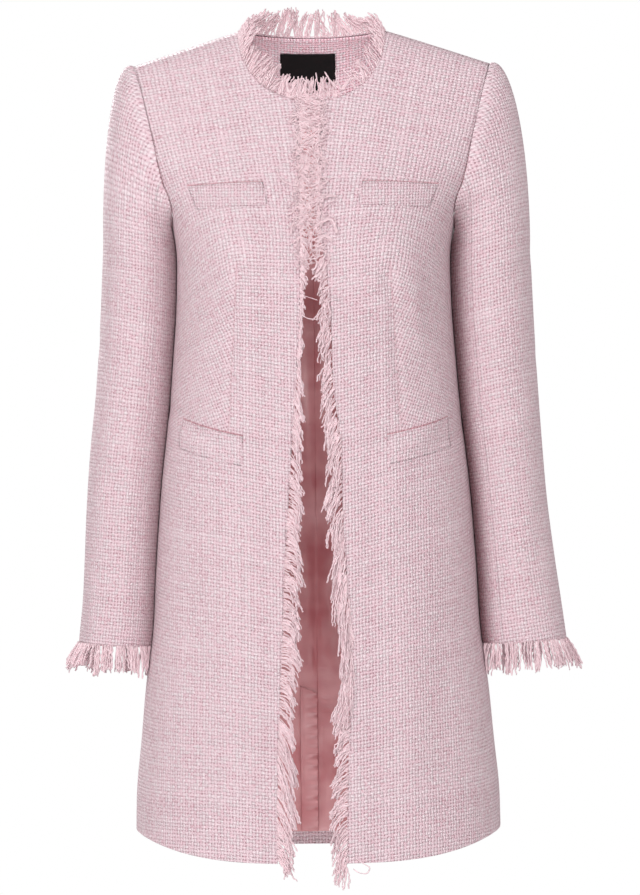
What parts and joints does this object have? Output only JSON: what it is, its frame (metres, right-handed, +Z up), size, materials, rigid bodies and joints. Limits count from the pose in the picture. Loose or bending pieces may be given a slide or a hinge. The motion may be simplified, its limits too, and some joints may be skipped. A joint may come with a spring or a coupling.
{
  "type": "long collarless tweed jacket",
  "caption": "Long open-front collarless jacket in plain-woven tweed, filled out as worn, with fringed neck, front edges and cuffs.",
  "frame": {"origin": "middle of the neck, level with the inner ends of the shoulder seams, where the wearer carries the jacket", "axes": "+Z up, the front faces -Y, and the wearer's left is +X"},
  "size_m": [0.5489, 0.2642, 0.9301],
  "materials": {
    "tweed": "loose plain weave of thick, glossy, uneven yarns in pale pink, with rose pores between them",
    "lining": "dusty rose satin with a soft sheen",
    "fringe": "loose pulled yarns in pale pink",
    "label": "plain black woven tape"
  },
  "bodies": {
    "root": {"front_left": "tweed", "front_right": "tweed", "back_left": "tweed", "back_right": "tweed", "upper_sleeve_left": "tweed", "upper_sleeve_right": "tweed", "under_sleeve_left": "tweed", "under_sleeve_right": "tweed", "chest_welt_left": "tweed", "chest_welt_right": "tweed", "hip_welt_left": "tweed", "hip_welt_right": "tweed", "back_neck_facing": "tweed", "back_lining_left": "lining", "back_lining_right": "lining", "vent_facing": "lining", "neck_fringe": "fringe", "front_fringe_left": "fringe", "front_fringe_right": "fringe", "cuff_fringe_left": "fringe", "cuff_fringe_right": "fringe", "neck_label": "label", "size_tab": "label"}
  },
  "joints": []
}
